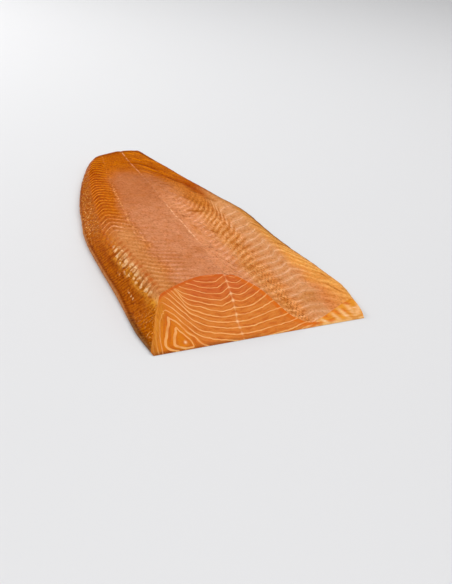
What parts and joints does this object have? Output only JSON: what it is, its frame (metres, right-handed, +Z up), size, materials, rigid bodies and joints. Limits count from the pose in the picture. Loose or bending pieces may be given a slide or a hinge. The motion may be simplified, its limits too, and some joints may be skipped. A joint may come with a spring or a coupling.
{
  "type": "smoked salmon side",
  "caption": "Trimmed, skinless side of smoked salmon lying flat, thick along the back, thin at the belly flap, its wide end cut on a long slant for slicing",
  "frame": {"origin": "middle of the side's outline on the surface it rests on", "axes": "+Y runs from the wide cut end to the tail, +X from the thick back to the belly flap, +Z is up"},
  "size_m": [0.2442, 0.4448, 0.0383],
  "materials": {
    "salmon_flesh": "moist orange fish flesh with a soft oily sheen, pale fat lines on the cut"
  },
  "bodies": {
    "root": {"salmon_side": "salmon_flesh"}
  },
  "joints": []
}
